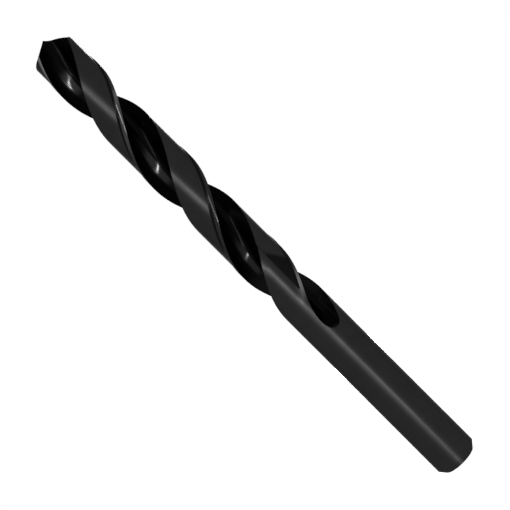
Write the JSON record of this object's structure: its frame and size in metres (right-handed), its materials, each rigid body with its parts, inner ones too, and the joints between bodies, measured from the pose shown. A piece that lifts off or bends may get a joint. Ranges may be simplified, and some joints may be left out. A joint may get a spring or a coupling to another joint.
{
  "type": "twist drill bit",
  "caption": "Parallel-shank twist drill: right-hand helical flutes, narrow ground margins and a relief-ground point, for drilling round holes in metal.",
  "frame": {"origin": "centre of the flat shank end, on the drill's axis", "axes": "+Z along the drill's axis towards the point; +X along the lips, towards one cutting corner"},
  "size_m": [0.0127, 0.0126, 0.151],
  "materials": {
    "black_oxide_steel": "black oxide on ground high-speed steel, satin on shank and lands, glossy in the flutes"
  },
  "bodies": {
    "root": {"twist_drill": "black_oxide_steel"}
  },
  "joints": []
}
